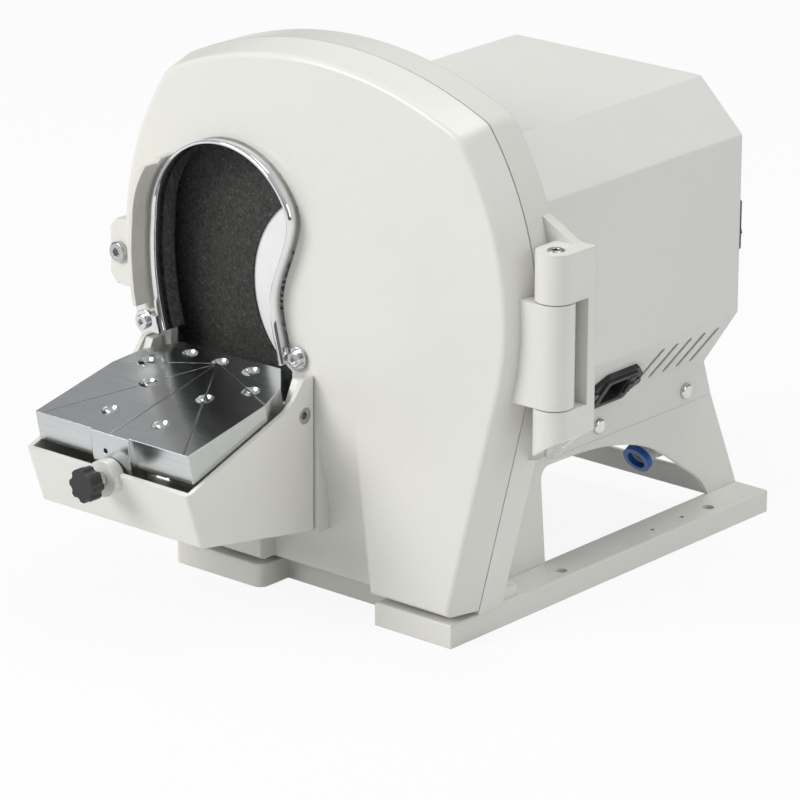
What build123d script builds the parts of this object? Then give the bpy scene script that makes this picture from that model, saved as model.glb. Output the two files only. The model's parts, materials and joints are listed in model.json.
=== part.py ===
from build123d import *
from math import atan, cos, degrees, hypot, radians, sin, sqrt, tan
import os

# Dental model trimmer. Millimetres, +Z up, +X to the right of a person standing
# in front of it, -Y towards that person. The origin is the centre of the four
# bench fixing holes, on the plane that the base stands on.

os.makedirs("parts", exist_ok=True)

# Base casting
base_width = 215.0
holes_to_front = 181.5
bar_height = 14.0
right_toe_width = 57.0
left_toe_width = 70.0
side_bar_width = 25.5
cross_plate_setback = 24.0
cross_plate_depth = 60.0
toe_corner_radius = 6.0
fixing_spacing_x = 198.0
fixing_spacing_y = 142.0
fixing_hole_radius = 3.5
tapped_hole_radius = 1.6
foot_bolt_radius = 3.0
tapped_hole_places = (18.0, 47.0)

# Wheel
wheel_radius = 127.0
wheel_axis_z = 182.5
wheel_face_depth = 19.5
abrasive_thickness = 1.2
abrasive_inner_radius = 60.5
wheel_plate_thickness = 9.0
shaft_radius = 10.0
running_clearance = 0.05

# Wheel casing and door outline, as three arcs and a straight flank
top_arc_radius = 253.0
crown_z = 327.5
side_arc_radius = 178.0
waist_half_width = 144.2
waist_z = 197.0
flank_arc_radius = 145.0
flank_angle = 14.0
door_corner_radius = 20.0
casing_corner_radius = 12.0
door_flare = 5.5
door_depth = 22.0
door_wall = 6.0
door_edge_radius = 3.5
door_floor_gap = 3.5
seam_gap = 0.8
casing_depth = 22.0
casing_wall = 6.0
chamber_clearance = 12.0

# Scooped middle of the door's foot
scoop_left = -38.0
scoop_right = 50.0
scoop_depth = 12.0
scoop_run_out = 14.0
scoop_lean = 8.0
scoop_top_z = 124.0
scoop_wall = 4.0

# Opening in the door and its bright band
opening_bottom_z = 60.0
band_bottom_z = 146.0
band_thickness = 1.6
band_proud = 10.0
band_width = 20.5
band_lug_radius = 7.0
band_lug_thickness = 2.5
band_screw_radius = 4.6
band_shank_radius = 2.1
right_lug_x = -7.8
right_lug_z = 149.5
left_lug_x = -118.2
left_lug_z = 150.5
left_lug_standoff = 9.5
guard_clearance = 3.0
guard_thickness = 3.6
guard_proud = 21.0
guard_step = 11.5
guard_bottom_z = 158.5
guard_top_z = 253.0

# Hinge on the right of the casing
hinge_x = 162.0
knuckle_radius = 11.5
hinge_pin_radius = 5.0
hinge_bottom_z = 122.0
hinge_door_bottom_z = 153.6
hinge_door_top_z = 214.8
hinge_top_z = 244.0
knuckle_gap = 0.6
bracket_plate = 7.0

# Latch lug on the left
lug_centre_z = 179.5
lug_reach_x = 167.0
lug_half_height = 21.0
lug_tip_half_height = 14.5
lug_thickness = 10.0
latch_bolt_radius = 4.0
latch_head_radius = 6.2
latch_head_height = 3.5
latch_bolt_x = -159.5

# Tray under the table
table_centre_x = -59.3
tray_wall = 3.0
tray_reach = 107.5
tray_front_top_z = 96.5
tray_front_bottom_z = 62.5
tray_front_lean = 12.0
tray_rear_bottom_z = 47.0
tray_side_rear_z = 125.0
tray_side_rear_reach = 26.0
tray_ear_thickness = 9.0
tray_ear_top_z = 141.0
tray_screw_radius = 2.5
tray_screw_heights = (61.0, 82.0)
lug_boss_radius = 10.7
lug_boss_front = 3.5

# Tilting table
table_half_width = 59.5
table_side_gap = 1.0
tray_width = 2 * (table_half_width + table_side_gap + tray_wall)
table_corner_half_width = tray_width / 2 - tray_ear_thickness - 0.5
table_length = 104.3
table_thickness = 18.5
table_above_pivot = 19.0
table_rear_overhang = 11.7
table_rest_tilt = 11.8
table_rear_half_width = 38.0
table_straight_length = 66.0
table_corner_length = 86.0
tilt_pivot_reach = 8.2
tilt_pivot_z = 119.0
tilt_shaft_radius = 5.0
table_boss_radius = 9.0
table_boss_half_span = 30.0
table_boss_width = 14.0
dimple_radius = 5.4
dimple_depth = 3.0
line_width = 0.5
line_depth = 0.4
pad_half_width = 14.6
pad_radius = 95.7
tongue_depth = 30.0

# Clamp screw of the table
clamp_z = 93.5
clamp_screw_radius = 4.0
clamp_pad_radius = 5.5
clamp_pad_thickness = 2.6
clamp_pad_gap = 0.3
clamp_travel = 2.0
knob_radius = 10.2
knob_thickness = 9.0
knob_lobes = 8
knob_offset = 15.5

# Housing cover, an eight-sided sheet-metal shell behind the casing
cover_top_half_width = 71.0
cover_half_width = 102.7
cover_skirt_half_width = 78.5
cover_top_z = 275.6
cover_shoulder_z = 244.8
cover_waist_z = 134.5
cover_skirt_z = 97.8
cover_bottom_z = 75.0
cover_sheet = 1.5
cover_rear = 272.0
cover_bend_radius = 2.0
slot_count = 5
slot_pitch = 13.3
slot_width = 3.8
slot_length = 28.5
slot_slant = 17.0
first_slot = 203.8
cover_screw_places = (169.5, 254.0)
cover_screw_z = 83.3
cover_screw_radius = 5.0

# Side frames and rear rail
frame_thickness = 3.0
frame_splay = 5.5
frame_front_foot = 113.5
frame_arch_front = 114.7
frame_arch_top_z = 71.5
frame_rear_foot = cover_rear - 0.5
rear_edge_lean = 18.2
base_past_frame = 1.5
rail_thickness = 3.0
rail_top_z = 28.7

# Motor
motor_radius = 62.0
motor_front = 56.0
motor_length = 118.0
bell_length = 20.0
bearing_radius = 20.0
bearing_width = 12.0
rotor_radius = 36.0
rotor_length = 70.0
air_gap = 0.6

# Switch and power inlet
switch_x = 90.5
switch_z = 188.0
switch_width = 22.0
switch_height = 31.0
switch_bezel = 4.0
rocker_proud = 7.8
rocker_tilt = 12.0
rocker_pin_radius = 1.2
inlet_y = 171.0
inlet_slope_offset = 14.7
inlet_length = 48.0
inlet_height = 28.0

# Water fittings
valve_x = 60.0
valve_y = 252.0
valve_z = 52.0
valve_inlet_tilt = 28.0
valve_inlet_length = 20.0
release_collar_length = 4.0
water_tube_depth = 22.0
water_tube_radius = 6.0
spray_x = -46.0
spray_z = 308.0
spray_radius = 2.5
spray_depth = 12.0
drain_radius = 11.0
drain_bore_radius = 8.5
drain_z = 44.0
drain_length = 28.0

# Places worked out from the sizes above. Depths behind the door's front face
# are turned into Y by depth().
front_y = -holes_to_front


def depth(distance):
    return front_y + distance


seam_y = depth(door_depth)
casing_front_y = seam_y + seam_gap
casing_back_y = seam_y + casing_depth
chamber_radius = wheel_radius + chamber_clearance
door_bottom_z = bar_height + door_floor_gap
wheel_face_y = depth(wheel_face_depth)
plate_front_y = wheel_face_y + abrasive_thickness
plate_back_y = plate_front_y + wheel_plate_thickness
pivot_y = depth(-tilt_pivot_reach)
clamp_x = table_centre_x
left_lug_back_y = depth(-left_lug_standoff)


def rear_edge(z):
    """Y of the slanting rear edge of the skirts and side frames at a height."""
    return depth(cover_rear + (cover_skirt_z - z) * tan(radians(rear_edge_lean)))


base_rear_y = rear_edge(bar_height) + base_past_frame


def slab_y(sketch, start, end):
    """Extrude a sketch drawn in X and Z from one Y to another."""
    plane = Plane(origin=(0, start, 0), x_dir=(1, 0, 0), z_dir=(0, -1, 0))
    return extrude(plane * sketch, amount=-(end - start))


def slab_x(sketch, start, end):
    """Extrude a sketch drawn in Y and Z from one X to another."""
    return extrude(Plane.YZ.offset(start) * sketch, amount=end - start)


def slab_z(sketch, start, end):
    """Extrude a sketch drawn in X and Y from one Z to another."""
    return extrude(Plane.XY.offset(start) * sketch, amount=end - start)


def rod_y(x, z, radius, start, end):
    return slab_y(Pos(x, z) * Circle(radius), start, end)


def ring_y(x, z, outer, inner, start, end):
    return slab_y(Pos(x, z) * (Circle(outer) - Circle(inner)), start, end)


def rod_x(y, z, radius, start, end):
    return slab_x(Pos(y, z) * Circle(radius), start, end)


def rod_z(x, y, radius, start, end):
    return slab_z(Pos(x, y) * Circle(radius), start, end)


def block(x0, x1, y0, y1, z0, z1):
    centre = Pos((x0 + x1) / 2, (y0 + y1) / 2, (z0 + z1) / 2)
    return centre * Box(x1 - x0, y1 - y0, z1 - z0)


def mirror_x(shape):
    return mirror(shape, about=Plane.YZ)


def polygon(*points):
    return make_face(Polyline(*points, close=True))


def save(shape, name):
    export_step(shape, "parts/" + name + ".step")


def socket_screw_y(x, z, head_radius, head_height, shank_radius, face_y, length):
    """Socket-head screw along Y whose head sits in front of face_y."""
    screw = rod_y(x, z, head_radius, face_y - head_height, face_y)
    screw = chamfer(screw.edges().group_by(Axis.Y)[0], head_radius * 0.12)
    screw += rod_y(x, z, shank_radius, face_y, face_y + length)
    socket = slab_y(Pos(x, z) * RegularPolygon(head_radius * 0.5, 6), face_y - head_height, face_y - head_height * 0.4)
    return screw - socket


def outline(grow, corner, bottom_z):
    """Outline of the door or casing in X and Z, grown outwards by grow."""
    side_centre_x = waist_half_width - side_arc_radius
    top_centre_z = crown_z - top_arc_radius
    top_r = top_arc_radius + grow
    side_r = side_arc_radius + grow
    gap_x = side_centre_x
    gap_z = waist_z - top_centre_z
    gap = hypot(gap_x, gap_z)
    along = (top_r**2 - side_r**2 + gap**2) / (2 * gap)
    across = sqrt(top_r**2 - along**2)
    corner_x = (along * gap_x + across * gap_z) / gap
    corner_z = top_centre_z + (along * gap_z - across * gap_x) / gap
    flank_centre_x = waist_half_width - flank_arc_radius
    flank_r = flank_arc_radius + grow
    flank_x = flank_centre_x + flank_r * cos(radians(flank_angle))
    flank_z = waist_z - flank_r * sin(radians(flank_angle))
    foot_x = flank_x - (flank_z - bottom_z) * tan(radians(flank_angle))
    side_angle = degrees(atan((corner_z - waist_z) / (corner_x - side_centre_x)))
    right = Line((foot_x, bottom_z), (flank_x, flank_z))
    right += CenterArc((flank_centre_x, waist_z), flank_r, -flank_angle, flank_angle)
    right += CenterArc((side_centre_x, waist_z), side_r, 0, side_angle)
    top = ThreePointArc((corner_x, corner_z), (0, crown_z + grow), (-corner_x, corner_z))
    left = mirror(right, about=Plane.YZ)
    floor = Line((-foot_x, bottom_z), (foot_x, bottom_z))
    face = make_face([*right.edges(), *top.edges(), *left.edges(), *floor.edges()])
    corners = [v for v in face.vertices() if abs(v.Y - corner_z) < 0.01]
    return fillet(corners, corner)


def opening_outline(inset=0.0):
    """Kidney-shaped opening in X and Z, straight-sided below the band."""
    round_centre = (-58.5, 214.5)
    round_radius = 56.0 - inset
    leave = radians(30)
    leave_point = (round_centre[0] + round_radius * cos(leave), round_centre[1] + round_radius * sin(leave))
    left_top = (round_centre[0] - round_radius, round_centre[1])
    left_foot = (-108.0 + inset, band_bottom_z)
    right_foot = (-12.8 - inset, band_bottom_z)
    right = Spline(
        right_foot,
        (-19.6 - inset, 184.0),
        (-8.6 - 0.9 * inset, 219.0 + 0.4 * inset),
        leave_point,
        tangents=((-0.2, 1.0), (-sin(leave), cos(leave))),
    )
    crown = ThreePointArc(leave_point, (round_centre[0], round_centre[1] + round_radius), left_top)
    left = ThreePointArc(left_top, (-115.2 + inset, 186.0), left_foot)
    foot = Polyline(
        left_foot,
        (left_foot[0], opening_bottom_z),
        (right_foot[0], opening_bottom_z),
        right_foot,
    )
    return make_face([*right.edges(), *crown.edges(), *left.edges(), *foot.edges()])


def make_base():
    half = base_width / 2
    plate_front = front_y + cross_plate_setback
    plate_rear = plate_front + cross_plate_depth
    right_toe = block(half - right_toe_width, half, front_y, plate_rear, 0, bar_height)
    left_toe = block(-half, -half + left_toe_width, front_y, plate_rear, 0, bar_height)
    left_toe = fillet(left_toe.edges().filter_by(Axis.Z).group_by(Axis.Y)[0], toe_corner_radius)
    right_bar = block(half - side_bar_width, half, plate_rear, base_rear_y, 0, bar_height)
    plate = block(-half + left_toe_width, half - right_toe_width, plate_front, plate_rear, 0, bar_height)
    base = right_toe + left_toe + right_bar + mirror_x(right_bar) + plate
    base = chamfer(base.edges().group_by(Axis.Z)[-1], 0.8)
    bolt_x, bolt_y = foot_bolt_place()
    for x in (-bolt_x, bolt_x):
        base -= rod_z(x, bolt_y, foot_bolt_radius, bar_height - 8, bar_height + 1)
    for x in (-fixing_spacing_x / 2, fixing_spacing_x / 2):
        for y in (-fixing_spacing_y / 2, fixing_spacing_y / 2):
            base -= rod_z(x, y, fixing_hole_radius, -1, bar_height + 1)
        for y in tapped_hole_places:
            base -= rod_z(x * 0.98, y, tapped_hole_radius, bar_height - 9, bar_height + 1)
    return base


def scoop_profile(shift):
    """Profile in Y and Z of the hollowed middle of the door's foot."""
    back = front_y + scoop_depth + shift
    face = front_y + shift
    low = door_bottom_z - 10
    curve = Bezier((back, 42), (back, 84), (face, 84), (face, scoop_top_z))
    ahead = face - 30 - shift
    walls = Polyline((face, scoop_top_z), (ahead, scoop_top_z), (ahead, low), (back, low), (back, 42))
    return make_face([*curve.edges(), *walls.edges()])


def scoop_reach():
    """Block whose right end runs out softly and leans, to end the hollow."""
    back = front_y + scoop_depth
    inner = scoop_right - scoop_run_out
    middle = scoop_right - scoop_run_out / 2
    run_out = Bezier((scoop_right, front_y), (middle, front_y), (middle, back), (inner, back))
    past = back + 2
    ahead = front_y - 60
    far = scoop_left - 60
    rest = Polyline((inner, back), (inner, past), (far, past), (far, ahead), (scoop_right, ahead), (scoop_right, front_y))
    reach = slab_z(make_face([*run_out.edges(), *rest.edges()]), door_bottom_z - 40, scoop_top_z + 40)
    foot = Pos(scoop_right, 0, door_bottom_z)
    return foot * Rot(Y=-scoop_lean) * foot.inverse() * reach


def make_door():
    front = outline(0, door_corner_radius, door_bottom_z)
    seam = outline(door_flare, casing_corner_radius, door_bottom_z)
    front_plane = Plane(origin=(0, front_y, 0), x_dir=(1, 0, 0), z_dir=(0, -1, 0))
    seam_plane = Plane(origin=(0, seam_y, 0), x_dir=(1, 0, 0), z_dir=(0, -1, 0))
    door = loft([front_plane * front, seam_plane * seam], ruled=True)
    door = fillet(door.edges().group_by(Axis.Y)[0], door_edge_radius)
    cavity = rod_y(0, wheel_axis_z, chamber_radius, depth(door_wall), seam_y + 1)
    cavity -= slab_x(scoop_profile(scoop_wall), scoop_left - scoop_wall, scoop_right + scoop_wall)
    door -= slab_x(scoop_profile(0), scoop_left, scoop_right + 1) & scoop_reach()
    door += tray_pad()
    web = block(waist_half_width - 8, hinge_x, seam_y - knuckle_radius, seam_y - 0.6, hinge_door_bottom_z, hinge_door_top_z)
    door += web
    door += rod_z(hinge_x, seam_y, knuckle_radius, hinge_door_bottom_z, hinge_door_top_z)
    door += latch_lug(seam_y - lug_thickness, seam_y)
    door += rod_y(left_lug_x, left_lug_z, 5.5, left_lug_back_y + 0.05, depth(2))
    door -= rod_y(left_lug_x, left_lug_z, band_shank_radius, left_lug_back_y - 1, depth(4.5))
    door -= rod_y(right_lug_x, right_lug_z, band_shank_radius, front_y - 1, depth(4.5))
    door -= cavity
    for x, z in tray_screw_places():
        door -= rod_y(x, z, tray_screw_radius, front_y - 1, depth(9))
    door -= rod_z(hinge_x, seam_y, hinge_pin_radius + running_clearance, hinge_door_bottom_z - 1, hinge_door_top_z + 1)
    door -= slab_y(opening_outline(), front_y - 1, depth(door_wall) + 14)
    door -= rod_y(latch_bolt_x, lug_centre_z, latch_bolt_radius + 0.3, seam_y - 30, seam_y + 1)
    return door


def tray_pad():
    """Flat seat for the tray across the hollowed foot."""
    right = table_centre_x + tray_width / 2 + 1.5
    return block(scoop_left - 2, right, front_y, depth(scoop_depth + 1), tray_rear_bottom_z - 1.5, scoop_top_z)


def latch_lug(start, end):
    root = -waist_half_width + 6
    outline_points = (
        (root, lug_centre_z - lug_half_height),
        (-lug_reach_x + 5, lug_centre_z - lug_half_height + 1),
        (-lug_reach_x, lug_centre_z - lug_tip_half_height),
        (-lug_reach_x, lug_centre_z + lug_tip_half_height),
        (-lug_reach_x + 5, lug_centre_z + lug_half_height - 1),
        (root, lug_centre_z + lug_half_height),
    )
    return slab_y(polygon(*outline_points), start, end)


def make_casing():
    shape = outline(door_flare, casing_corner_radius, bar_height)
    casing = slab_y(shape, casing_front_y, casing_back_y)
    bracket_front = casing_back_y - bracket_plate
    outer_x = hinge_x + knuckle_radius
    bracket_points = (
        (125.0, hinge_bottom_z - 14),
        (140.0, hinge_bottom_z - 10),
        (outer_x - 20, hinge_bottom_z - 1),
        (outer_x, hinge_bottom_z + 17),
        (outer_x, hinge_top_z - 13),
        (outer_x - 7.5, hinge_top_z - 2),
        (138.0, hinge_top_z + 13),
        (125.0, hinge_top_z + 13),
    )
    casing += slab_y(polygon(*bracket_points), bracket_front, casing_back_y)
    arm = Pos(hinge_x, seam_y) * Circle(knuckle_radius)
    arm += Pos(hinge_x, (seam_y + casing_back_y) / 2) * Rectangle(2 * knuckle_radius, casing_depth)
    casing += slab_z(arm, hinge_door_top_z + knuckle_gap, hinge_top_z)
    inner_x = hinge_x - knuckle_radius
    sloped = polygon(
        (inner_x - 1, hinge_bottom_z - 1),
        (outer_x + 1, hinge_bottom_z + 15),
        (outer_x + 1, hinge_door_bottom_z),
        (inner_x - 1, hinge_door_bottom_z),
    )
    lower_arm = slab_z(arm, hinge_bottom_z - 1, hinge_door_bottom_z - knuckle_gap)
    casing += lower_arm & slab_y(sloped, seam_y - 20, casing_back_y)
    casing += latch_lug(casing_front_y, casing_front_y + lug_thickness)
    casing -= rod_y(0, wheel_axis_z, chamber_radius, casing_front_y - 1, casing_back_y - casing_wall)
    sump = Pos(0, (bar_height + 70) / 2) * RectangleRounded(120, 48, 8)
    casing -= slab_y(sump, casing_front_y + 2, casing_back_y - casing_wall)
    casing -= rod_z(hinge_x, seam_y, hinge_pin_radius, hinge_bottom_z - 1, hinge_top_z + 1)
    casing -= rod_y(latch_bolt_x, lug_centre_z, latch_bolt_radius + 0.6, casing_front_y - 1, casing_front_y + 20)
    casing -= rod_y(0, wheel_axis_z, shaft_radius + 4, casing_back_y - casing_wall - 1, casing_back_y + 1)
    casing -= rod_y(0, drain_z, drain_radius, casing_back_y - casing_wall - 1, casing_back_y + 1)
    casing -= rod_y(spray_x, spray_z, spray_radius, casing_back_y - casing_wall - 1, casing_back_y + 1)
    gasket_groove = ring_y(0, wheel_axis_z, chamber_radius + 5, chamber_radius + 1.5, casing_front_y - 1, casing_front_y + 2)
    casing -= gasket_groove
    pad = block(84.5, 104, casing_back_y - 2, casing_back_y + 20, bar_height, bar_height + 7)
    bolt_x, bolt_y = foot_bolt_place()
    pad -= rod_z(bolt_x, bolt_y, foot_bolt_radius, bar_height - 1, bar_height + 8)
    return casing + pad + mirror_x(pad)


def make_gasket():
    return ring_y(0, wheel_axis_z, chamber_radius + 5, chamber_radius + 1.5, seam_y + 0.15, casing_front_y + 2)


def make_band():
    """Polished band that lines the opening, with a screw lug at each end."""
    outer = opening_outline()
    inner = opening_outline(band_thickness)
    start = depth(-band_proud)
    strip = slab_y(outer, start, start + band_width) - slab_y(inner, start - 1, start + band_width + 1)
    strip -= block(-200, 50, start - 1, start + band_width + 1, 0, band_bottom_z)
    strip += band_lug(right_lug_x, right_lug_z, -15.5, front_y - 0.05)
    strip += band_lug(left_lug_x, left_lug_z, -106.0, left_lug_back_y)
    return strip


def band_lug(x, z, band_x, back_y):
    tab = Pos(x, z) * Circle(band_lug_radius)
    tab += Pos((x + band_x) / 2, z) * Rectangle(abs(x - band_x), 1.5 * band_lug_radius)
    lug = slab_y(tab, back_y - band_lug_thickness, back_y)
    inside = slab_y(opening_outline(band_thickness), back_y - 20, back_y + 20)
    return lug - inside - rod_y(x, z, band_shank_radius + 0.1, back_y - 10, back_y + 1)


def make_band_screws():
    right_face = front_y - 0.05 - band_lug_thickness
    left_face = left_lug_back_y - band_lug_thickness
    right = socket_screw_y(right_lug_x, right_lug_z, band_screw_radius, 2.6, band_shank_radius, right_face, 6)
    left = socket_screw_y(left_lug_x, left_lug_z, band_screw_radius, 2.6, band_shank_radius, left_face, 12)
    return Compound([right, left])


def guard_strip(clearance, thickness, end_inset):
    """Section in X and Z of a strip that runs beside the left of the band."""
    strip = opening_outline(-clearance - thickness) - opening_outline(-clearance)
    middle_z = (guard_bottom_z + guard_top_z) / 2
    window = Pos(-115, middle_z) * Rectangle(50, guard_top_z - guard_bottom_z - 2 * end_inset)
    return strip & window


def make_guard():
    """Splash guard that stands out beside the left of the opening."""
    base = slab_y(guard_strip(guard_clearance, guard_thickness, 0), depth(-guard_step), front_y - 0.05)
    lip = slab_y(guard_strip(guard_clearance + 0.5, guard_thickness - 1.0, 4), depth(-guard_proud), depth(-guard_step))
    return base + lip


def make_latch_bolt():
    head_face = seam_y - lug_thickness
    return socket_screw_y(
        latch_bolt_x, lug_centre_z, latch_head_radius, latch_head_height, latch_bolt_radius, head_face, lug_thickness + 9
    )


def make_hinge_pin():
    pin = rod_z(hinge_x, seam_y, hinge_pin_radius, hinge_bottom_z + 2, hinge_top_z + 0.6)
    pin = chamfer(pin.edges().group_by(Axis.Z)[-1], 0.6)
    pin -= slab_z(Pos(hinge_x, seam_y) * RegularPolygon(2.6, 6), hinge_top_z - 3, hinge_top_z + 1)
    return pin


def make_abrasive():
    return ring_y(0, wheel_axis_z, wheel_radius - 0.5, abrasive_inner_radius, wheel_face_y, plate_front_y)


def make_wheel_plate():
    plate = rod_y(0, wheel_axis_z, wheel_radius, plate_front_y, plate_back_y)
    plate += rod_y(0, wheel_axis_z, 30, plate_back_y, plate_back_y + 4)
    for index in range(8):
        angle = radians(45 * index)
        place = (75 * cos(angle), wheel_axis_z + 75 * sin(angle))
        plate -= rod_y(place[0], place[1], 16, plate_back_y - 3, plate_back_y + 1)
    return plate - rod_y(0, wheel_axis_z, shaft_radius, plate_front_y - 1, plate_back_y + 10)


def make_wheel_nut():
    nut = slab_y(Pos(0, wheel_axis_z) * RegularPolygon(13, 6), plate_front_y - 9, plate_front_y - 2)
    washer = rod_y(0, wheel_axis_z, 18, plate_front_y - 2, plate_front_y)
    return nut + washer - rod_y(0, wheel_axis_z, 6, plate_front_y - 20, plate_front_y + 1)


def make_shaft():
    rear = depth(motor_front + motor_length + 34)
    shaft = rod_y(0, wheel_axis_z, shaft_radius, plate_front_y, rear)
    return shaft + rod_y(0, wheel_axis_z, 6, plate_front_y - 10.5, plate_front_y)


def make_slinger():
    start = plate_back_y + 4
    return ring_y(0, wheel_axis_z, 17, shaft_radius, start, start + 3)


def make_shaft_seal():
    start = casing_back_y - casing_wall
    return ring_y(0, wheel_axis_z, shaft_radius + 4, shaft_radius + running_clearance, start, casing_back_y)


def make_tray():
    """Cast tray: a tapering trough with a thick pivot ear on each side."""
    side = make_face(
        Polyline(
            (depth(-tray_reach), tray_front_top_z),
            (depth(-tray_reach + tray_front_lean), tray_front_bottom_z),
            (depth(-1), tray_rear_bottom_z),
            (depth(-1), tray_ear_top_z),
            (depth(-9), tray_ear_top_z),
            (depth(-tray_side_rear_reach + 8), tray_side_rear_z + 5),
            (depth(-tray_side_rear_reach), tray_side_rear_z),
            close=True,
        )
    )
    left = table_centre_x - tray_width / 2
    right = table_centre_x + tray_width / 2
    tray = slab_x(side, left, right)
    tray = fillet(tray.edges().filter_by(Axis.X).group_by(Axis.Z)[-1].sort_by(Axis.Y)[0], 6)
    front_edges = [e for e in tray.edges() if e.center().Y < depth(-tray_reach + 15) and abs(e.center().X - table_centre_x) > 50]
    tray = fillet(front_edges, 3)
    inner = make_face(
        Polyline(
            (depth(-tray_reach + tray_wall + 0.4), tray_front_top_z + 60),
            (depth(-tray_reach + tray_wall + 0.4), tray_front_top_z),
            (depth(-tray_reach + tray_front_lean + tray_wall), tray_front_bottom_z + tray_wall),
            (depth(5), tray_rear_bottom_z + tray_wall - 0.9),
            (depth(5), tray_front_top_z + 60),
            close=True,
        )
    )
    tray -= slab_x(inner, left + tray_wall, right - tray_wall)
    ear = make_face(
        Polyline(
            (depth(-1), 92),
            (depth(-1), tray_ear_top_z - 1),
            (depth(-9), tray_ear_top_z - 1),
            (depth(-16), tilt_pivot_z + 7),
            (depth(-16), 104),
            close=True,
        )
    )
    ear = fillet(ear.vertices().group_by(Axis.X)[0], 6)
    tray += slab_x(ear, right - tray_ear_thickness, right - 1)
    tray += slab_x(ear, left + 1, left + tray_ear_thickness)
    for x, z in tray_screw_places():
        tray += block(x - 6.5, x + 6.5, depth(-6), depth(-1), z - 7, z + 7)
    tray += rod_y(clamp_x, clamp_z, lug_boss_radius, depth(-tray_reach - lug_boss_front), depth(-tray_reach + 4.5))
    tray -= rod_x(pivot_y, tilt_pivot_z, tilt_shaft_radius, left - 1, right + 1)
    tray -= rod_y(clamp_x, clamp_z, clamp_screw_radius + running_clearance, depth(-tray_reach - 20), depth(-60))
    pocket_y = clamp_pad_front() - clamp_pad_thickness - clamp_travel - 0.3
    tray -= rod_y(clamp_x, clamp_z, clamp_pad_radius + 0.3, pocket_y, depth(-60))
    for x, z in tray_screw_places():
        tray -= rod_y(x, z, tray_screw_radius, depth(-10), depth(1))
    return tray


def tray_screw_places():
    half = tray_width / 2 - tray_wall - 6
    return [(table_centre_x + side * half, z) for side in (-1, 1) for z in tray_screw_heights]


def make_tray_screws():
    return Compound([socket_screw_y(x, z, 4.2, 4.0, tray_screw_radius, depth(-6), 14) for x, z in tray_screw_places()])


def make_tilt_shaft():
    left = table_centre_x - tray_width / 2 + 0.5
    right = table_centre_x + tray_width / 2 - 0.5
    shaft = rod_x(pivot_y, tilt_pivot_z, tilt_shaft_radius, left, right)
    socket = Pos(pivot_y, tilt_pivot_z) * RegularPolygon(2.6, 6)
    shaft -= slab_x(socket, right - 3, right + 1)
    return shaft - slab_x(socket, left - 1, left + 3)


def table_place():
    """Turns the level table, drawn about its pivot, to where it rests."""
    return Pos(0, pivot_y, tilt_pivot_z) * Rot(X=table_rest_tilt)


def table_front():
    return table_rear_overhang - table_length


def dimple_places():
    """Centres of the nine dimples, as X from the middle and distance from the rear edge."""
    rear_row = [(x, 10.5) for x in (-24.3, 0.0, 24.3)]
    side_pair = [(x, 29.0) for x in (-40.8, 40.8)]
    middle_pair = [(x, 48.5) for x in (-22.2, 22.2)]
    front_pair = [(x, 83.5) for x in (-19.8, 19.8)]
    return rear_row + side_pair + middle_pair + front_pair


def fan_line_ends():
    front = table_length - 0.5
    return [(-60.5, 38.0), (-55.5, front), (0.0, front), (55.5, front), (60.5, 38.0)]


def make_table():
    """Machined table, drawn level with its tilt pivot at the origin."""
    front = table_front()
    rear = table_rear_overhang
    top = table_above_pivot
    bottom = top - table_thickness
    plan = polygon(
        (table_centre_x - table_half_width, front),
        (table_centre_x + table_half_width, front),
        (table_centre_x + table_half_width, front + table_straight_length),
        (table_centre_x + table_corner_half_width, front + table_corner_length),
        (table_centre_x + table_rear_half_width, rear),
        (table_centre_x - table_rear_half_width, rear),
        (table_centre_x - table_corner_half_width, front + table_corner_length),
        (table_centre_x - table_half_width, front + table_straight_length),
    )
    table = slab_z(plan, bottom, top)
    hollow = offset(plan, amount=-7)
    table -= slab_z(hollow, bottom - 1, top - 7.5)
    for side in (-1, 1):
        centre = table_centre_x + side * table_boss_half_span
        boss = rod_x(0, 0, table_boss_radius, centre - table_boss_width / 2, centre + table_boss_width / 2)
        boss += block(centre - table_boss_width / 2, centre + table_boss_width / 2, -table_boss_radius, table_boss_radius, 0, top - 5)
        table += boss
    pad = polygon(
        (-pad_radius - 5, -tongue_depth),
        (front + 8, -tongue_depth),
        (front + 8, top),
        (-pad_radius - 5, top),
    )
    pad = slab_x(pad, table_centre_x - pad_half_width, table_centre_x + pad_half_width)
    pad &= rod_x(0, 0, pad_radius, table_centre_x - pad_half_width, table_centre_x + pad_half_width)
    table += pad
    table -= rod_x(0, 0, tilt_shaft_radius + running_clearance, table_centre_x - 60, table_centre_x + 60)
    sphere_radius = (dimple_radius**2 + dimple_depth**2) / (2 * dimple_depth)
    for x, from_rear in dimple_places():
        centre = Pos(table_centre_x + x, rear - from_rear, top - dimple_depth + sphere_radius)
        table -= centre * Sphere(sphere_radius)
    hub = (0.0, 12.0)
    for x, from_rear in fan_line_ends():
        run = Line((table_centre_x + hub[0], rear - hub[1]), (table_centre_x + x, rear - from_rear))
        groove = trace(run, line_width)
        table -= extrude(Plane.XY.offset(top - line_depth) * groove, amount=1)
    table -= rod_y(table_centre_x - 4, top - 11, 1.6, -pad_radius - 4, front + 3)
    return table_place() * table


def clamp_pad_front():
    """Y of the clamp pad's bearing face, just off the table's tongue."""
    drop = tilt_pivot_z - clamp_z - clamp_pad_radius
    return pivot_y - sqrt(pad_radius**2 - drop**2) - clamp_pad_gap


def make_clamp_pad():
    face = clamp_pad_front()
    pad = rod_y(clamp_x, clamp_z, clamp_pad_radius, face - clamp_pad_thickness, face)
    pad = chamfer(pad.edges().group_by(Axis.Y)[-1], 0.5)
    return pad - rod_y(clamp_x, clamp_z, 2.6, face - clamp_pad_thickness - 1, face - 0.8)


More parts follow.
